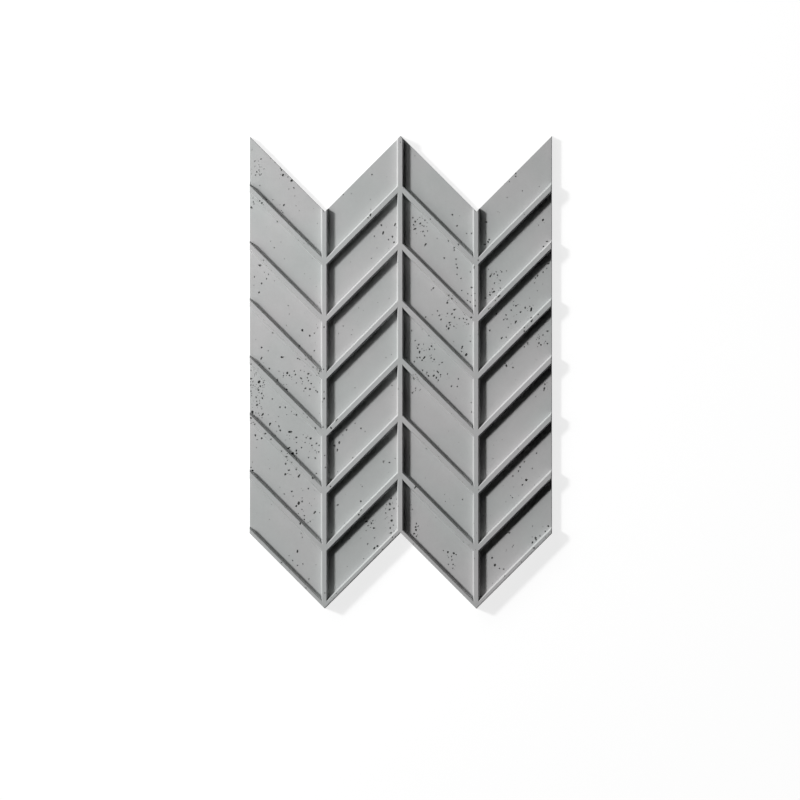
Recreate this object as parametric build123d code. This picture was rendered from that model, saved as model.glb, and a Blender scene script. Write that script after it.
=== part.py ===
from build123d import *
import os
from math import cos, radians, tan

# A precast concrete wall cladding panel with a herringbone relief, lying on its back, face up.
# X runs along the wall, +Y up the wall and +Z out of it. Sizes are in millimetres and degrees.
# The ribs stand on a flat slab. Each floor between them is a shallow parallelogram recess.

# Herringbone grid
column_pitch = 150.0        # between the centres of the upright ribs
rib_lean = 45.0             # slope of the slanting ribs
rib_pitch = 80.0            # between the centres of the slanting ribs, square to them
floors_per_column = 7

# Outline
side_joint = 1.0            # each side edge stops this far short of the 600 mm module
top_margin = 72.5           # top edge to the centre of the first slanting rib, square to it
bottom_margin = 2.75        # centre of the last slanting rib to the bottom edge
edge_draft = 2.0            # draft of the outer edges, so that the panel leaves its mould
floor_arris = 0.3           # chamfer along the outer edges where floors run out

# Section
floor_thickness = 14.0
rib_height = 12.0           # front of the ribs above the floors
rib_width = 8.2             # flat front, between its arrises
rib_draft = 9.5
foot_radius = 0.9           # where a rib meets the floor
arris = 0.6                 # chamfer along the front edges of the ribs and round their ends

# Worked out from the sizes above
slope = tan(radians(rib_lean))
upright_share = 1.0 / cos(radians(rib_lean))
panel_thickness = floor_thickness + rib_height
half_width = 2 * column_pitch - side_joint
rib_lines = [-column_pitch, 0.0, column_pitch]
column_length = (top_margin + (floors_per_column - 1) * rib_pitch + bottom_margin) * upright_share
zigzag_rise = column_pitch * slope
top_valley = (column_length - zigzag_rise) / 2
half_rib = rib_width / 2 + arris
run_out = 2 * panel_thickness
front = Plane.XY.offset(panel_thickness)
arris_angle = 45.0
arris_depth = arris * (1 + 2 * tan(radians(rib_draft)))     # a little past the drafted wall


def line_y(x, below_top):
    """Y, at x, of the zigzag line that lies this far below the top edge, square to the ribs."""
    rise = slope * abs(column_pitch - abs(x))
    return top_valley + rise - below_top * upright_share


def sides(block):
    """The faces that stand between the lowest face of a block and its highest."""
    return block.faces().sort_by(Axis.Z)[1:-1]


def drafted_slab(thickness):
    """The chevron outline with drafted outer edges, largest at the back."""
    stations = [-half_width] + rib_lines + [half_width]
    length = column_length / upright_share
    bottom = [(x, line_y(x, length)) for x in stations]
    top = [(x, line_y(x, 0)) for x in reversed(stations)]
    block = extrude(Polygon(*bottom, *top, align=None), amount=thickness)
    return draft(sides(block), Plane.XY, edge_draft)


def arris_off(body, size):
    """The body with the edges of its front face chamfered."""
    return chamfer(body.faces().sort_by(Axis.Z)[-1].edges(), size)


def sunk(left, right, upper, lower, depth, angle):
    """The space under a parallelogram in the front plane, with walls that lean in by this angle.

    The parallelogram lies between two uprights and two slanting lines.
    """
    corners = Polygon(
        (left, line_y(left, upper)),
        (right, line_y(right, upper)),
        (right, line_y(right, lower)),
        (left, line_y(left, lower)),
        align=None,
    )
    block = extrude(front * corners, amount=depth, dir=(0, 0, -1))
    return draft(sides(block), front, -angle)


def recess(column, row):
    """The space over one floor, with a rounded foot and a flared mouth that takes the arris off.

    The first row runs out through the top edge, and the outer columns through the side edges.
    """
    left_rib = (column - 2) * column_pitch
    left = left_rib + half_rib
    right = left_rib + column_pitch - half_rib
    if column == 0:
        left = -half_width - run_out
    if column == 3:
        right = half_width + run_out
    lower = top_margin + row * rib_pitch - half_rib
    upper = top_margin + (row - 1) * rib_pitch + half_rib
    if row == 0:
        upper = -run_out
    space = sunk(left, right, upper, lower, rib_height, rib_draft)
    foot = space.edges().group_by(Axis.Z)[0]
    mouth = sunk(left - arris, right + arris, upper - arris, lower + arris, arris_depth, arris_angle)
    return fillet(foot, foot_radius) + mouth


def cladding_panel():
    """The slab with its four columns of recesses, and the arris off where a floor runs out."""
    recesses = [recess(column, row) for column in range(4) for row in range(floors_per_column)]
    floor_slab = drafted_slab(floor_thickness)
    floor_rim = floor_slab - arris_off(floor_slab, floor_arris)
    run_outs = [Pos(0, 0, -floor_arris) * space & floor_rim for space in recesses]
    return arris_off(drafted_slab(panel_thickness), arris) - recesses - run_outs


os.makedirs("parts", exist_ok=True)
export_step(cladding_panel(), "parts/cladding_panel.step")
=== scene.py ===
import math
import random

import bmesh
import bpy
from mathutils import Matrix, Quaternion, Vector


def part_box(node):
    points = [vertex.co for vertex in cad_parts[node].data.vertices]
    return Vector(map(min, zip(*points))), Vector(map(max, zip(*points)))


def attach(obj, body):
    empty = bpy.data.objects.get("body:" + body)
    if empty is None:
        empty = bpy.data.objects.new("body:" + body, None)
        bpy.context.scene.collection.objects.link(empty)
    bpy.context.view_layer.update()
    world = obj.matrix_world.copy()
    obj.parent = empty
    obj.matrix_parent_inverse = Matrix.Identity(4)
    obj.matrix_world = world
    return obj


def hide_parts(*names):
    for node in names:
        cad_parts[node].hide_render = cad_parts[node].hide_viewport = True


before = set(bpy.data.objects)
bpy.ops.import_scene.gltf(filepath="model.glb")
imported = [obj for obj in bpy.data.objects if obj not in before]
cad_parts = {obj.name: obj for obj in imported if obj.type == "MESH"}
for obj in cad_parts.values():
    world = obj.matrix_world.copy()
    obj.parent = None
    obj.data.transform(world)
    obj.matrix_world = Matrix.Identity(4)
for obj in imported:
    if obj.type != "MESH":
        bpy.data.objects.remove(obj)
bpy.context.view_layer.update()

# The view. The panel lies face up on a level floor, and the camera looks down on it from far off,
# a touch from the right, as a long lens sees a panel that hangs on a wall.
image_pixels = 800
metres_per_pixel = 0.001974
centre_pixel = (400.15, 372.15)     # where the middle of the panel lies in the photograph
front_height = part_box("cladding_panel")[1][2]
view_distance = 10.0
view_lean = math.radians(2.8)
frame_width = image_pixels * metres_per_pixel
aim_x = (image_pixels / 2 - centre_pixel[0]) * metres_per_pixel
aim_y = (centre_pixel[1] - image_pixels / 2) * metres_per_pixel
camera_place = (aim_x + view_distance * math.sin(view_lean), aim_y,
                front_height + view_distance * math.cos(view_lean))
bpy.ops.object.select_all(action="DESELECT")
bpy.ops.object.camera_add(location=camera_place, rotation=(0, view_lean, 0))
camera = bpy.context.object
camera.name = "straight_down_camera"
camera.data.sensor_width = 36.0
camera.data.lens = camera.data.sensor_width * view_distance / frame_width
bpy.context.scene.camera = camera
bpy.context.scene.view_settings.view_transform = "Standard"


def sight_line(x, y):
    """The way in which the camera sees this pixel of the photograph."""
    across = (x - image_pixels / 2) * metres_per_pixel
    upward = (image_pixels / 2 - y) * metres_per_pixel
    return camera.rotation_euler.to_matrix() @ Vector((across, upward, -view_distance))


# The studio: a sun low on the left that rakes over the ribs, two soft lamps on the same side, near
# enough to light that side more, and one at the upper left. The floor is white to the camera.
def aim_lamp(azimuth, elevation, energy, distance=0.0, size=0.0):
    """A round lamp that shines on the middle of the panel, or a sun where it has no size.

    Azimuth is turned from +X towards +Y, and elevation is above the floor.
    """
    turn = math.radians(azimuth)
    rise = math.radians(elevation)
    away = Vector((math.cos(rise) * math.cos(turn), math.cos(rise) * math.sin(turn), math.sin(rise)))
    bpy.ops.object.light_add(type="AREA" if size else "SUN", location=away * distance)
    lamp = bpy.context.object
    lamp.rotation_euler = away.to_track_quat("Z", "Y").to_euler()
    lamp.data.energy = energy
    if size:
        lamp.data.shape = "DISK"
        lamp.data.size = size
    return lamp


sun = aim_lamp(azimuth=156.3, elevation=34.0, energy=2.95)
sun.data.angle = math.radians(7.0)
aim_lamp(azimuth=150.0, elevation=25.0, energy=1.95, distance=1.1, size=0.5)
aim_lamp(azimuth=185.0, elevation=30.0, energy=4.9, distance=1.6, size=0.8)
aim_lamp(azimuth=118.0, elevation=30.0, energy=10.5, distance=2.2, size=1.2)

world = bpy.context.scene.world or bpy.data.worlds.new("studio")
bpy.context.scene.world = world
world.use_nodes = True
background = world.node_tree.nodes["Background"].inputs
background["Color"].default_value = (1, 1, 1, 1)
background["Strength"].default_value = 0.003

floor_gap = 0.0003      # metres under the panel's back, so that the two don't lie in one plane
bpy.ops.object.select_all(action="DESELECT")
bpy.ops.mesh.primitive_grid_add(
    x_subdivisions=8,
    y_subdivisions=8,
    size=12.0,
    location=(0, 0, -floor_gap),
)
floor = bpy.context.object
floor.name = "studio_floor"


class Tone:
    """An output socket of a material. Arithmetic on it adds Math nodes to that material."""

    def __init__(self, socket):
        self.socket = socket

    def add(self, kind, settings, values, output=0):
        """Adds a node to the same material. Settings come first, then its sockets are filled."""
        node = self.socket.id_data.nodes.new(kind)
        for name, setting in settings.items():
            setattr(node, name, setting)
        for place, value in values.items():
            if isinstance(value, Tone):
                node.id_data.links.new(value.socket, node.inputs[place])
            else:
                node.inputs[place].default_value = value
        return Tone(node.outputs[output])

    def maths(self, operation, first, second):
        return self.add("ShaderNodeMath", {"operation": operation}, {0: first, 1: second})

    def __add__(self, other):
        return self.maths("ADD", self, other)

    __radd__ = __add__

    def __mul__(self, other):
        return self.maths("MULTIPLY", self, other)

    __rmul__ = __mul__

    def __sub__(self, other):
        return self.maths("SUBTRACT", self, other)

    def __rsub__(self, other):
        return self.maths("SUBTRACT", other, self)

    def most(self, other):
        """The larger of the two."""
        return self.maths("MAXIMUM", self, other)

    def noise(self, size, detail, roughness=0.5):
        """Noise from 0 to 1 over this place, with lumps of about this size in metres."""
        values = {"Vector": self, "Scale": 1.0 / size, "Detail": detail, "Roughness": roughness}
        return self.add("ShaderNodeTexNoise", {"noise_dimensions": "3D"}, values)

    def between(self, low, high):
        """0 below the low value, 1 above the high one, and smooth in between."""
        settings = {"interpolation_type": "SMOOTHSTEP"}
        values = {"Value": self, "From Min": low, "From Max": high}
        return self.add("ShaderNodeMapRange", settings, values)

    def blend(self, first, second):
        """The first colour where this is 0, and the second where it is 1."""
        colour_a, colour_b, colour_result = 6, 7, 2     # the colour sockets among those of a Mix node
        values = {"Factor": self, colour_a: first, colour_b: second}
        return self.add("ShaderNodeMix", {"data_type": "RGBA"}, values, colour_result)


def new_material(name):
    """An empty node material, with its output node's surface socket."""
    material = bpy.data.materials.new(name)
    material.use_nodes = True
    material.node_tree.nodes.clear()
    return material, material.node_tree.nodes.new("ShaderNodeOutputMaterial").inputs["Surface"]


# The floor glows white where it is seen, and lights the panel as plain paper does.
paper, paper_surface = new_material("white_paper_floor")
ray = paper.node_tree.nodes.new("ShaderNodeLightPath").outputs
direct = Tone(ray["Is Camera Ray"])
for way in ("Is Glossy Ray", "Is Transmission Ray"):
    direct = direct.most(Tone(ray[way]))
lit = direct.add("ShaderNodeBsdfDiffuse", {}, {"Color": (0.8, 0.8, 0.8, 1)})
dim = direct.add("ShaderNodeBsdfDiffuse", {}, {"Color": (0.3, 0.3, 0.3, 1)})
glow = direct.add("ShaderNodeEmission", {}, {"Strength": 0.8})
bright = direct.add("ShaderNodeAddShader", {}, {0: dim, 1: glow})
paper_shader = direct.add("ShaderNodeMixShader", {}, {0: direct, 1: lit, 2: bright})
paper.node_tree.links.new(paper_shader.socket, paper_surface)
floor.data.materials.append(paper)


# The panel: fair-faced grey concrete, cast face down in one piece, with ribs, recesses and edges
# as the frame has them. Its face keeps the small air voids and chipped arrises of the casting, and
# its back is the open side of the mould, struck off and trowelled.
millimetre = 0.001
weld_distance = 0.002 * millimetre


def pick(thing):
    """Makes this the only selected object, and the active one."""
    bpy.ops.object.select_all(action="DESELECT")
    thing.select_set(True)
    bpy.context.view_layer.objects.active = thing


pick(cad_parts["cladding_panel"])
bpy.ops.object.duplicate()
panel = bpy.context.object
panel.name = "concrete_panel"
panel.data.name = "concrete_panel"
bpy.ops.object.mode_set(mode="EDIT")
bpy.ops.mesh.select_all(action="SELECT")
bpy.ops.mesh.remove_doubles(threshold=weld_distance)
bpy.ops.mesh.customdata_custom_splitnormals_clear()
bpy.ops.object.mode_set(mode="OBJECT")


def concrete(name, cement, warmer, lump_depth, grain_depth):
    """Hardened cement paste: faint clouds, mottling, fine grain and dark specks, and a dry sheen.

    The tone is about 1 on average, and scales a colour that drifts from cement to the warmer one.
    """
    material, surface = new_material(name)
    place = Tone(material.node_tree.nodes.new("ShaderNodeTexCoord").outputs["Object"])
    clouds = place.noise(160 * millimetre, detail=2.0)
    mottle = place.noise(22 * millimetre, detail=4.0, roughness=0.6)
    fleck = place.noise(6 * millimetre, detail=2.0, roughness=0.6)
    grain = place.noise(1.2 * millimetre, detail=3.0, roughness=0.7)
    specks = place.noise(3.5 * millimetre, detail=2.0, roughness=0.6).between(low=0.68, high=0.76)
    tone = 0.82 + 0.16 * clouds + 0.09 * mottle + 0.06 * fleck + 0.06 * grain - 0.16 * specks
    colour = clouds.between(low=0.35, high=0.65).blend(cement, warmer)
    shade = tone.add("ShaderNodeVectorMath", {"operation": "SCALE"}, {"Vector": colour, "Scale": tone})
    height = grain_depth * grain + lump_depth * mottle
    bump = height.add("ShaderNodeBump", {}, {"Strength": 1.0, "Distance": 1.0, "Height": height})
    roughness = 0.78 + 0.14 * mottle
    values = {"Base Color": shade, "Roughness": roughness, "Normal": bump, "Specular IOR Level": 0.3}
    shader = place.add("ShaderNodeBsdfPrincipled", {}, values)
    material.node_tree.links.new(shader.socket, surface)
    return material


finishes = [
    concrete(
        "fair_faced_concrete",
        cement=(0.4735, 0.4890, 0.4845, 1),
        warmer=(0.4870, 0.4835, 0.4845, 1),
        lump_depth=0.3 * millimetre,
        grain_depth=0.06 * millimetre,
    ),
    # Darker than the face: painted shade inside the air voids and the chips out of the arrises.
    concrete(
        "void_concrete_painted_shade",
        cement=(0.31, 0.32, 0.315, 1),
        warmer=(0.33, 0.33, 0.325, 1),
        lump_depth=0.6 * millimetre,
        grain_depth=0.3 * millimetre,
    ),
    concrete(
        "trowelled_concrete",
        cement=(0.44, 0.45, 0.445, 1),
        warmer=(0.47, 0.47, 0.465, 1),
        lump_depth=1.6 * millimetre,
        grain_depth=0.25 * millimetre,
    ),
]
fair_face, void_face_painted_shade, trowelled_face = range(len(finishes))

# Air voids that stand out in the photograph, column by column: pixel x, pixel y and width in
# millimetres, each read off the photograph. Those on an edge of a rib are chips out of its arris.
voids_in_column_1 = [
    (252, 150, 2), (261, 159, 3), (255, 161, 3), (259, 164.5, 2), (255, 166, 2), (260, 167, 2),
    (259, 170, 2.5), (257, 172, 3.5), (255.5, 175, 3), (260, 175, 3), (271, 158.5, 2), (275, 162.5, 2),
    (280.5, 168, 3), (281.5, 170, 3.5), (283, 175, 5), (288, 177, 3), (292, 180.5, 6), (294, 188, 3.5),
    (289, 189, 2.5), (295, 196, 2), (260, 185.5, 2.5), (250.5, 183, 2.5), (273, 199.5, 2.5),
    (284, 205, 4), (281.5, 210.5, 2.5), (283, 212.5, 3), (266, 200, 5), (259.5, 201, 3.5),
    (262, 203, 4), (263.5, 205, 2), (253.5, 202, 3), (253, 198, 2), (254, 204, 2.5), (251.3, 207.4, 4.5),
    (277.3, 221.6, 3.5), (274.4, 247.7, 3), (281, 242, 2), (263.7, 260.3, 3), (260.2, 265.4, 5),
    (254.5, 277, 3), (268.5, 274.3, 3), (266.7, 278.8, 3), (261.7, 283.4, 3.5), (254, 285.3, 2),
    (259.1, 292.5, 4.5), (288.3, 305.6, 2.5), (286.4, 325.3, 2), (302.4, 330.3, 5), (309.8, 335.7, 4),
    (314.6, 333.1, 3), (317.7, 327.9, 2.5), (272.8, 332.9, 3), (261.7, 347.5, 4), (268.2, 350.8, 2.5),
    (281.8, 357.2, 4.5), (261.3, 358.7, 4), (297.8, 358.5, 3.5), (299.7, 359.4, 4), (306, 359.2, 3),
    (299.7, 346, 4), (314.3, 350.8, 3), (305.5, 355.4, 4), (311.2, 356.6, 3), (269.4, 368.7, 4),
    (287.3, 373, 5), (289.5, 375.4, 3.5), (294.3, 371.1, 3), (295.4, 374.6, 3.5), (301.7, 378.6, 4),
    (308.5, 373.8, 4.5), (307.4, 377.8, 3), (308.4, 380.8, 3), (311.2, 383.6, 3.5), (305.5, 388.3, 4),
    (310, 389.1, 4), (316, 390.5, 3), (317.4, 392, 4), (304, 391, 2.5), (296.4, 382.9, 2.5),
    (283.5, 375.7, 3), (300.7, 370.3, 2.5), (313.1, 367.1, 3), (286.8, 389.6, 4.5), (277.3, 380, 4),
    (259.1, 381.9, 6), (258.6, 390.1, 4), (262.4, 398.2, 4), (272.5, 399, 3.5), (257.2, 404.9, 5),
    (280.1, 407.3, 4), (285.4, 407.5, 3.5), (263.1, 414.2, 4.5), (252.4, 412, 6), (296.4, 415, 4),
    (255.7, 427.2, 3.5), (254.8, 424.3, 3), (251, 423.3, 3), (255.5, 435.3, 4.5), (257.2, 439.6, 2.5),
    (261.7, 438.2, 4), (265.5, 433.6, 4), (271, 439.3, 3.5), (256.5, 447.6, 2), (270.1, 423.8, 5),
    (279.2, 426.5, 4), (280.4, 430.5, 4), (291.1, 432, 6), (289.5, 435.6, 4), (296.4, 437.4, 4),
    (296.6, 442.5, 2.5), (306.2, 437.7, 3), (310.7, 438.4, 5), (305.2, 442.5, 2.5), (316.7, 443.4, 3.5),
    (312, 445.4, 3.5), (319.1, 445.4, 3.5), (315.5, 428.1, 4), (301.7, 447.6, 3.5), (315.3, 450.4, 2.5),
    (318.9, 451.9, 3), (296.4, 450.6, 4.5), (296.6, 453.5, 4), (292.6, 453.7, 6), (294.3, 455.9, 5),
    (288.3, 448.4, 4), (308.6, 457.6, 3), (315.3, 458.1, 4), (316.3, 473.6, 3), (275.4, 435.3, 3),
    (286.6, 457.1, 5), (285.7, 463.8, 4), (291.6, 462.6, 3), (289.2, 470.2, 4), (296.4, 469.5, 4),
    (285.4, 474.3, 5), (298.8, 476.4, 5), (313.1, 477.9, 5), (281.6, 451.1, 3), (251.1, 467.4, 3),
    (252.6, 470.5, 4.5), (252.4, 462.1, 2), (292.1, 491.5, 4), (284.4, 494.1, 3), (293.2, 496.2, 2.5),
    (302.3, 501.5, 4), (298.8, 503.2, 6), (296.4, 506.1, 5), (308.4, 488.6, 3.5), (302.1, 509.4, 3),
    (315.1, 512, 4), (319.8, 512.6, 2.5), (304.5, 515.7, 3), (304.3, 519.5, 3), (310.3, 521.4, 3),
    (300.4, 523.6, 5), (301.2, 533.4, 2.5), (302.4, 537.2, 2.5), (297.5, 551.8, 4.5),
    (289.2, 555.7, 2.5), (292.8, 560.6, 3), (302.9, 564, 3), (297.5, 565.4, 3), (281.6, 562.5, 3),
    (309, 579, 3), (306, 588, 3), (324.1, 327.1, 3.5), (324.1, 392, 3), (324.1, 398.5, 4),
    (323, 427.2, 3.5), (324.9, 455.4, 3), (325.6, 467.4, 3), (325, 593, 3),
    (251.2, 364.2, 3), (251, 370.6, 2.5), (250.9, 378.7, 4), (252.9, 381.8, 2.5), (250.9, 385.1, 3),
    (253.2, 385.3, 2.5), (251, 391.2, 3.5), (251.6, 395.6, 2.5), (258.9, 379.3, 3), (256.2, 372.9, 2.5),
    (254.7, 374.1, 2), (264.4, 380.5, 2.5), (263.4, 382.4, 2.5), (264.4, 384.8, 2.5), (260.3, 386.1, 4),
    (262.6, 385.6, 2.5), (257.4, 388.8, 2.5), (261.8, 393.5, 3.5), (256.2, 397.3, 3.5), (257, 401.2, 3),
    (259.8, 400.9, 2), (254.2, 415.9, 3), (250.9, 418, 4), (258.5, 413.2, 2.5), (262.1, 417.8, 2.5),
    (255.9, 419.5, 2.5), (259.8, 365.2, 3), (302.6, 381.6, 2), (309.4, 395.5, 2), (278.5, 416.7, 2),
    (286.9, 414.6, 2), (275.8, 421.6, 2), (303.4, 413.4, 2), (307.3, 417.2, 2.5), (283.9, 384.5, 2),
    (286.4, 384.5, 2), (317, 368.9, 2.5), (319.9, 371.3, 3.5), (318.8, 373.4, 3), (316.9, 375.5, 2.5),
    (323.6, 369.2, 2.5), (322.4, 401.9, 3),
]
voids_in_column_2 = [
    (395.1, 140.9, 3), (372, 174.5, 3), (343.3, 194.6, 2.5), (351.4, 193.7, 2), (370.7, 209.4, 2),
    (370.7, 215, 6), (368.1, 217.8, 3), (381.5, 225.2, 4), (383.3, 232.4, 4.5), (374.4, 236.2, 3),
    (394.9, 225.2, 4), (392.5, 236.7, 4), (388.7, 239.6, 3), (394, 242.3, 4), (371.5, 258.4, 2.5),
    (343.3, 326, 2.5), (389.2, 298.4, 2), (392.1, 385.3, 3), (398.3, 389.1, 3), (337, 420, 6),
    (331.3, 428.1, 4), (361, 428.4, 3.5), (346.6, 430, 4), (355.2, 423.3, 3), (339.4, 442.7, 5),
    (334.2, 445.4, 4), (337.5, 449.8, 4), (339.4, 449.2, 3), (352.8, 457.8, 3), (389.5, 462.6, 3.5),
    (395.2, 458.5, 2.5), (330.6, 479.5, 4), (330.6, 486.5, 3.5), (362.4, 486.5, 2.5), (361, 501.3, 4),
    (338, 504.9, 4), (361, 510.4, 4), (359, 514.7, 4), (391.1, 498.4, 4), (390.1, 504.2, 5),
    (394, 508.5, 4), (389.7, 509.4, 4), (385.8, 513, 3), (392.5, 503.2, 2.5), (391.9, 520.6, 6),
    (390.3, 528.1, 4), (391.1, 532.9, 4), (393.5, 525.2, 2.5), (394, 531, 2.5), (371.5, 523.3, 4),
    (373.9, 528.1, 4.5), (368.1, 525.7, 3), (366.4, 521.4, 5), (372.9, 520.9, 3), (366.2, 530.5, 2.5),
    (374.4, 548.2, 5), (377.5, 546.1, 5), (367.7, 543.9, 3), (374.7, 537.9, 2.5), (363.8, 558.7, 2.5),
    (392.4, 537.2, 3), (382.8, 549.6, 3), (400.5, 142.2, 2.5), (398.3, 506.1, 2.5),
]
voids_in_column_3 = [
    (412.9, 217.8, 3.5), (415.3, 221.7, 4.5), (413.4, 224.8, 3), (415.3, 228.8, 4.5), (420.3, 223.5, 4),
    (423.9, 226.2, 3), (425, 220.2, 3), (430.4, 219.2, 3), (427.7, 231, 3), (423, 231.5, 3.5),
    (424.7, 235.8, 3), (425.8, 244.4, 5), (452.4, 214.7, 4), (457.1, 225.9, 4), (466.8, 233.4, 2.5),
    (471.7, 233.4, 3.5), (448.5, 241, 3.5), (458.5, 244.4, 3.5), (454.3, 247.7, 4), (454.3, 250.1, 3.5),
    (444.3, 258, 3.5), (456.2, 259.2, 3.5), (456.4, 264.3, 3.5), (457.4, 267.8, 4), (433.5, 288.2, 4),
    (431.6, 289.9, 2.5), (457.1, 274.3, 3), (461.2, 278.4, 3), (470.5, 271.9, 3), (471.7, 287.5, 4),
    (462, 290.4, 3), (467.9, 293.7, 3), (471.6, 295.4, 2.5), (467.6, 300.4, 3), (470.3, 302, 3),
    (449, 295.4, 4), (447.4, 302.7, 4.5), (452.1, 298.7, 4), (455.8, 295.1, 3), (454.3, 309.7, 4),
    (437.6, 310.9, 3), (447.5, 313.5, 3), (439.5, 315.4, 3.5), (441.1, 319.6, 4), (452, 314, 4),
    (454.5, 317.4, 4), (449.6, 322.6, 4), (450.2, 325, 5), (446.6, 326.3, 3.5), (448.8, 328.5, 5),
    (454, 326.4, 3), (459.3, 318.6, 3), (463.6, 318.6, 3.5), (466.8, 319.5, 3.5), (471.3, 317.4, 4),
    (465, 322.4, 2.5), (468.4, 324, 3), (425.8, 317.1, 3.5), (422.2, 329.3, 2), (429, 335.7, 3.5),
    (411.8, 330.7, 3), (415.3, 340.6, 3), (418.7, 344.6, 3.5), (417.9, 348.2, 4), (419.6, 351.6, 4),
    (421.8, 352.3, 3), (431.6, 346.2, 4), (429.5, 349.2, 3.5), (434.6, 349.2, 3), (420.1, 357.5, 3.5),
    (424.6, 357.2, 4), (422.2, 360.2, 3.5), (417.2, 357.7, 3), (431.1, 358, 3), (434.2, 359.4, 3.5),
    (414.3, 361.6, 3.5), (442.1, 362.5, 3), (439.2, 364.7, 2.5), (462.4, 346.8, 4), (466.2, 354.7, 5.5),
    (461.7, 351.5, 3), (453.8, 341.5, 2.5), (470.5, 341.5, 3), (422.7, 370.4, 3.5), (427, 372.4, 3),
    (428.4, 375.9, 4), (433.8, 375.7, 4.5), (436.4, 377.8, 4), (438.3, 372.4, 4), (440.7, 374.8, 5),
    (438.3, 380.2, 3), (447.5, 374, 3), (414.3, 379.1, 4), (416.7, 380, 5), (420.6, 383.8, 3),
    (415.8, 388.3, 3), (412.4, 392.9, 3.5), (415.8, 374.3, 2.5), (425.8, 381, 4), (458.4, 378.9, 3),
    (451.5, 386.2, 3.5), (457.4, 386.5, 3.5), (471.3, 402.5, 2.5), (471.7, 412, 3), (426.3, 448.7, 2.5),
    (415.8, 487, 4), (462.7, 499.4, 3), (412.4, 509.4, 2.5), (416.5, 523.6, 3.5), (415.8, 527.1, 4),
    (416.3, 530, 5.5), (414.3, 533.8, 4), (416.5, 536.2, 3.5), (418.2, 526.2, 3), (448.1, 552.2, 4.5),
    (453.9, 553.3, 4.5), (456.2, 554.6, 3.5), (451.7, 556.3, 3), (443.5, 550.6, 2.5), (451.9, 559.9, 3),
    (453.3, 564.5, 3.5), (448.5, 564.5, 3), (452.9, 568.3, 3), (463.6, 542, 2.5), (474.4, 267.3, 4.5),
    (478.4, 260.2, 3), (475.1, 293.4, 2.5), (475.3, 300.4, 3), (475.3, 305.9, 3.5), (474.6, 558.2, 2.5),
]
voids_in_column_4 = [
    (515.8, 173.4, 4), (515.8, 176.4, 3.5), (504.8, 183.3, 2.5), (509.5, 181.7, 2.5), (542.5, 144.7, 3),
    (486.4, 221.9, 4), (489.4, 239.6, 4), (488.2, 242, 4), (484.7, 244.4, 4), (543, 220, 4.5),
    (538.7, 225.2, 2.5), (547.6, 241.5, 4), (543.5, 246.5, 3.5), (548.8, 263.5, 4), (490.4, 276.2, 4),
    (494.2, 274, 3), (497.6, 275.3, 3.5), (501.9, 271.9, 3), (500.4, 280.5, 3), (494.5, 283.1, 3),
    (492.6, 288.9, 3), (494.2, 291.8, 5), (490.4, 295.1, 4), (489.9, 292.5, 3), (500.3, 288.2, 3),
    (498.5, 296.6, 4), (485.4, 298, 3.5), (489, 308.7, 3), (516.2, 305.9, 4), (511.3, 310.2, 3.5),
    (520.7, 312.1, 4), (525.3, 307.8, 4), (531.1, 310.2, 5), (529.9, 306.4, 3), (506.2, 315, 3.5),
    (507.1, 319.1, 3.5), (503.8, 319.7, 3), (515.9, 321.7, 4.5), (508.4, 327.4, 2.5), (489.9, 330.5, 4),
    (501.7, 338.2, 4), (506.2, 337.2, 3), (531.1, 317.8, 4), (531.5, 321.2, 4), (524.4, 327.4, 3),
    (524.4, 331.2, 4), (538.2, 314.5, 3), (543.2, 272.1, 3.5), (537.8, 275.7, 4), (535.6, 278.1, 3),
    (534.7, 282.9, 2.5), (496.6, 314, 4), (547.3, 331.2, 4), (543, 335.1, 3), (539.2, 338.4, 3),
    (538.9, 343.2, 4), (541.1, 344.9, 4), (547.6, 343.7, 3.5), (545.6, 341.3, 2.5), (524.4, 347, 3),
    (506.5, 365.7, 5), (513.2, 367.6, 4), (505.2, 363.3, 3), (544.9, 384.3, 3.5), (544.5, 388.6, 5),
    (545.5, 387, 3), (536.8, 453.3, 3.5), (524.4, 461.8, 3.5), (520.1, 466.9, 4), (518.6, 471.2, 3.5),
    (512.9, 476, 3), (532.3, 468.3, 2.5), (526.6, 480.1, 6), (522.4, 484.9, 3.5), (512.6, 497.7, 3),
    (505.9, 501.8, 2), (509.5, 532.9, 4), (513.5, 545.3, 2.5), (535.7, 538.1, 5), (540.1, 535.9, 3.5),
    (545.4, 531.4, 3.5), (548.3, 526.2, 4), (532.5, 542.5, 4), (532.5, 544.4, 3), (534.4, 548.2, 4),
    (492.1, 557.8, 4), (495, 565.1, 6), (499.5, 568.5, 3.5), (503.8, 569.2, 3.5), (505, 576, 3),
    (488.3, 269.3, 2.5), (496.2, 271.8, 2.5), (500.8, 270.6, 2.5), (546.9, 268.3, 3), (513.5, 301.2, 2.5),
    (517.9, 304.7, 2.5), (527.6, 310.6, 2.5), (529.8, 298.1, 2), (511.2, 323.9, 2), (490.3, 307.6, 2.5),
    (495.4, 300.4, 3),
]
shallow_hollows = [(383.9, 461.8, 6), (528.2, 343.7, 6)]

# Patches of pinholes round them: pixel x and y of the upper left corner and of the lower right
# one, and how many there are.
fine_patches = [
    (249, 360, 264, 413, 60), (250, 412, 256, 424, 10), (280, 365, 320, 395, 20),
    (412, 214, 428, 232, 20), (445, 294, 457, 303, 14), (446, 312, 470, 330, 14),
    (416, 343, 436, 362, 20), (422, 370, 442, 382, 14), (411, 374, 422, 392, 12),
    (489, 272, 503, 300, 16), (503, 304, 533, 322, 14), (535, 330, 549, 347, 10),
    (505, 362, 514, 370, 6), (541, 382, 548, 391, 8), (284, 430, 320, 460, 24),
    (284, 458, 300, 478, 12), (292, 490, 320, 525, 14), (383, 497, 397, 535, 16),
    (364, 518, 376, 532, 10), (411, 520, 420, 538, 8), (444, 548, 457, 570, 10),
    (510, 450, 545, 500, 10), (532, 524, 550, 547, 8), (255, 158, 300, 215, 14),
    (250, 164, 265, 176, 12), (279, 166, 290, 179, 10),
]
whole_panel = (249, 136, 552, 609, 260)     # the few pinholes all over, in the same form


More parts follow.
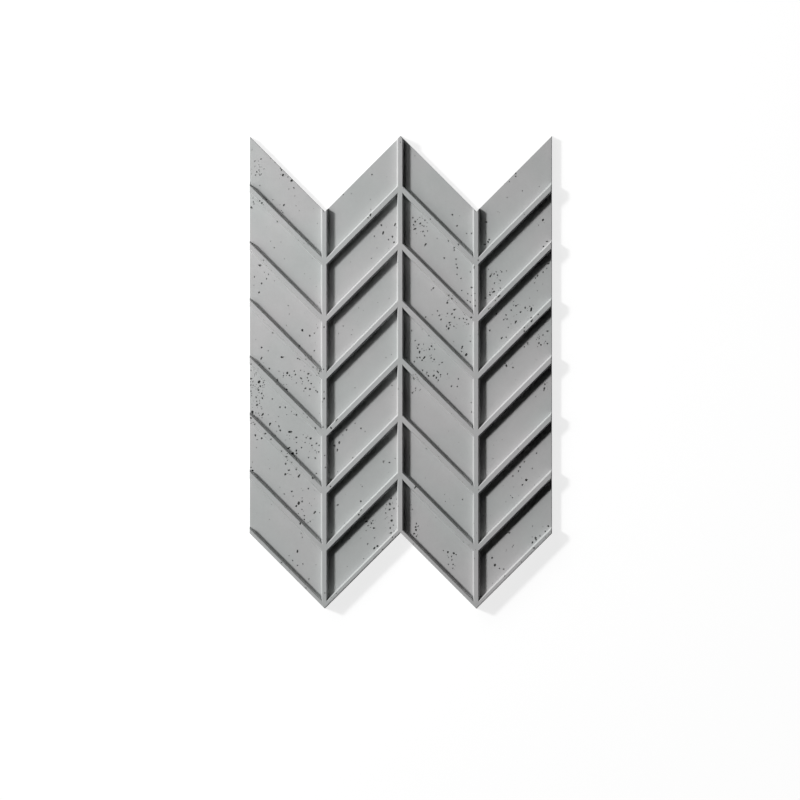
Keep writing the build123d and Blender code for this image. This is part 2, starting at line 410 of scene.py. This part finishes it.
def rough_ball(detail, radius, place, seed):
    """A ball that is knocked out of round."""
    unevenness = 0.14
    bpy.ops.object.select_all(action="DESELECT")
    bpy.ops.mesh.primitive_ico_sphere_add(subdivisions=detail, radius=radius)
    bpy.ops.object.mode_set(mode="EDIT")
    bpy.ops.transform.vertex_random(offset=unevenness * radius, seed=seed)
    bpy.ops.transform.translate(value=place)
    bpy.ops.object.mode_set(mode="OBJECT")
    return bpy.context.object


def lump(detail, seed, side_radius=0.0):
    """The points and faces of a rough ball of 1 m radius, and how far it reaches.

    A smaller ball, where it has one, has grown into its side.
    """
    ball = rough_ball(detail, radius=1.0, place=(0, 0, 0), seed=seed)
    if side_radius:
        side_place = (1.0, 0.1, 0.05)
        side_ball = rough_ball(detail, side_radius, side_place, seed + 1)
        grown = ball.modifiers.new("grown_together", "BOOLEAN")
        grown.operation = "UNION"
        grown.solver = "EXACT"
        grown.object = side_ball
        pick(ball)
        bpy.ops.object.modifier_apply(modifier=grown.name)
        bpy.data.objects.remove(side_ball)
    points = [point.co.copy() for point in ball.data.vertices]
    faces = [list(face.vertices) for face in ball.data.polygons]
    bpy.data.objects.remove(ball)
    return points, faces, max(point.length for point in points)


draw = random.Random(7)
void_detail = 2
pinhole_detail = 1
twins = ((11, 0.55), (13, 0.7), (15, 0.85))     # seed, and radius of the ball in the side
round_lumps = [lump(void_detail, seed) for seed in (1, 2, 3)]
twin_lumps = [lump(void_detail, seed, side_radius) for seed, side_radius in twins]
fine_lumps = [lump(pinhole_detail, seed) for seed in (7, 8, 9)]
bubbles = []            # centre and reach of each
bubble_points = []
bubble_faces = []


def blow_bubble(lumps, place, outward, width, sink):
    """Adds a bubble whose mouth has this width, plainer or smaller where the next one is near.

    Sink is the depth of its centre over its radius. Where it would get far too small, there is none.
    """
    lengthening = (1.0, 1.3)
    narrower = 0.9
    least_share = 0.2
    radius = 0.5 * width / math.sqrt(1 - sink * sink)
    turn = outward.to_track_quat("Z", "Y") @ Quaternion((0, 0, 1), draw.uniform(0, math.tau))
    longer = draw.uniform(*lengthening)
    centre = place - sink * radius * outward
    gaps = [(centre - other).length - other_reach for other, other_reach in bubbles]
    room = min(gaps, default=math.inf)
    fitting = [(points, faces, reach) for points, faces, reach in lumps if reach * longer * radius < room]
    points, faces, reach = draw.choice(fitting or lumps[:1])
    radius = min(radius, room / (reach * longer))
    if radius < least_share * width:
        return
    bubbles.append((centre, radius * reach * longer))
    shape = Matrix.LocRotScale(centre, turn, Vector((longer, narrower, 1.0)) * radius)
    first = len(bubble_points)
    bubble_points.extend(shape @ point for point in points)
    bubble_faces.extend([first + corner for corner in face] for face in faces)


def void_at_pixel(lumps, x, y, width, sink):
    """Adds a void where the camera sees this pixel of the photograph, if the panel is there."""
    hit, place, outward = panel.ray_cast(camera.location, sight_line(x, y))[:3]
    if hit:
        blow_bubble(lumps, place, outward, width * millimetre, sink)


halo = 0.1                  # millimetres by which the photograph shows a void too wide
least_twin_void = 4.0       # millimetres from which on a void may be two that have grown together
void_sinks = (0.1, 0.45)
hollow_sink = -0.6
pinhole_widths = (1.1, 2.6)
pinhole_sink = 0.2
for x, y, width in voids_in_column_1 + voids_in_column_2 + voids_in_column_3 + voids_in_column_4:
    forms = round_lumps + twin_lumps if width >= least_twin_void else round_lumps
    void_at_pixel(forms, x, y, width - halo, draw.uniform(*void_sinks))
for x, y, width in shallow_hollows:
    void_at_pixel(round_lumps, x, y, width, hollow_sink)
for left, top, right, bottom, number in fine_patches + [whole_panel]:
    for again in range(number):
        x = draw.uniform(left, right)
        y = draw.uniform(top, bottom)
        width = draw.uniform(*pinhole_widths)
        void_at_pixel(fine_lumps, x, y, width, pinhole_sink)

# Tiny chips out of the arrises, which are the edges of the front where a face slopes away from it
chip_number = 260
chip_widths = (1.0, 2.2)
chip_sink = 0.0
front_slack = 0.01 * millimetre
least_level_normal = 0.95
upward = Vector((0, 0, 1))
relief = bmesh.new()
relief.from_mesh(panel.data)
arrises = []
for edge in relief.edges:
    on_front = min(point.co.z for point in edge.verts) > front_height - front_slack
    if on_front and min(face.normal.z for face in edge.link_faces) < least_level_normal:
        arrises.append([point.co.copy() for point in edge.verts])
relief.free()
lengths = [(end - start).length for start, end in arrises]
for start, end in draw.choices(arrises, weights=lengths, k=chip_number):
    chip_width = draw.uniform(*chip_widths) * millimetre
    chip_place = start.lerp(end, draw.random())
    blow_bubble(fine_lumps, chip_place, upward, chip_width, chip_sink)

bubble_mesh = bpy.data.meshes.new("air_bubbles")
bubble_mesh.from_pydata(bubble_points, [], bubble_faces)
air_bubbles = bpy.data.objects.new("air_bubbles", bubble_mesh)
bpy.context.collection.objects.link(air_bubbles)
back_normal = -0.99         # the back's faces point down at least this much
panel.data.materials.clear()
for finish in finishes:
    panel.data.materials.append(finish)
    bubble_mesh.materials.append(finish)
for face in panel.data.polygons:
    face.material_index = trowelled_face if face.normal.z < back_normal else fair_face
# The faces inside the voids and chips take the darker finish, which is painted shade in those hollows.
for face in bubble_mesh.polygons:
    face.material_index = void_face_painted_shade

# The bubbles are taken out of the panel, and the normals evened out but for its edges.
sharp_angle = math.radians(35)
pick(panel)
burst = panel.modifiers.new("burst_bubbles", "BOOLEAN")
burst.operation = "DIFFERENCE"
burst.solver = "MANIFOLD"
burst.object = air_bubbles
bpy.ops.object.modifier_apply(modifier=burst.name)
bpy.data.objects.remove(air_bubbles)
bpy.ops.object.shade_smooth_by_angle(angle=sharp_angle)
even = panel.modifiers.new("even_normals", "WEIGHTED_NORMAL")
even.keep_sharp = True
bpy.ops.object.modifier_apply(modifier=even.name)

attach(panel, "root")
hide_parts("cladding_panel")
